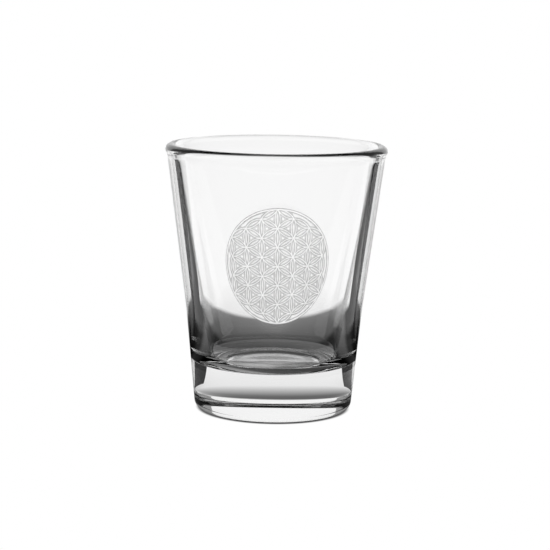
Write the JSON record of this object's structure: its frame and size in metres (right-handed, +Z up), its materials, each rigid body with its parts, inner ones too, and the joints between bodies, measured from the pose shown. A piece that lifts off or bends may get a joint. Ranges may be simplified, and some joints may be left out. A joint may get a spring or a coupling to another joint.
{
  "type": "shot glass",
  "caption": "Tapered clear shot glass with a thick solid base, a rounded rim and a round frosted medallion of overlapping circles on the front.",
  "frame": {"origin": "centre of the base, on the surface the glass stands on", "axes": "+Z up along the glass's axis, towards the mouth; -Y towards the viewer, the side with the medallion; +X to the viewer's right"},
  "size_m": [0.0496, 0.0496, 0.06],
  "materials": {
    "clear_glass": "clear, polished, colourless pressed glass",
    "frosted_enamel": "satin, translucent pale grey fired-on frost",
    "grey_enamel": "satin, fired-on pale grey line",
    "white_enamel": "satin, fired-on white"
  },
  "bodies": {
    "root": {"glass_body": "clear_glass", "frosted_ground": "frosted_enamel", "border_line": "grey_enamel", "inner_border_line": "white_enamel", "rosette": "white_enamel", "crescent_1": "white_enamel", "crescent_2": "white_enamel", "crescent_3": "white_enamel", "crescent_4": "white_enamel", "crescent_5": "white_enamel", "crescent_6": "white_enamel"}
  },
  "joints": []
}
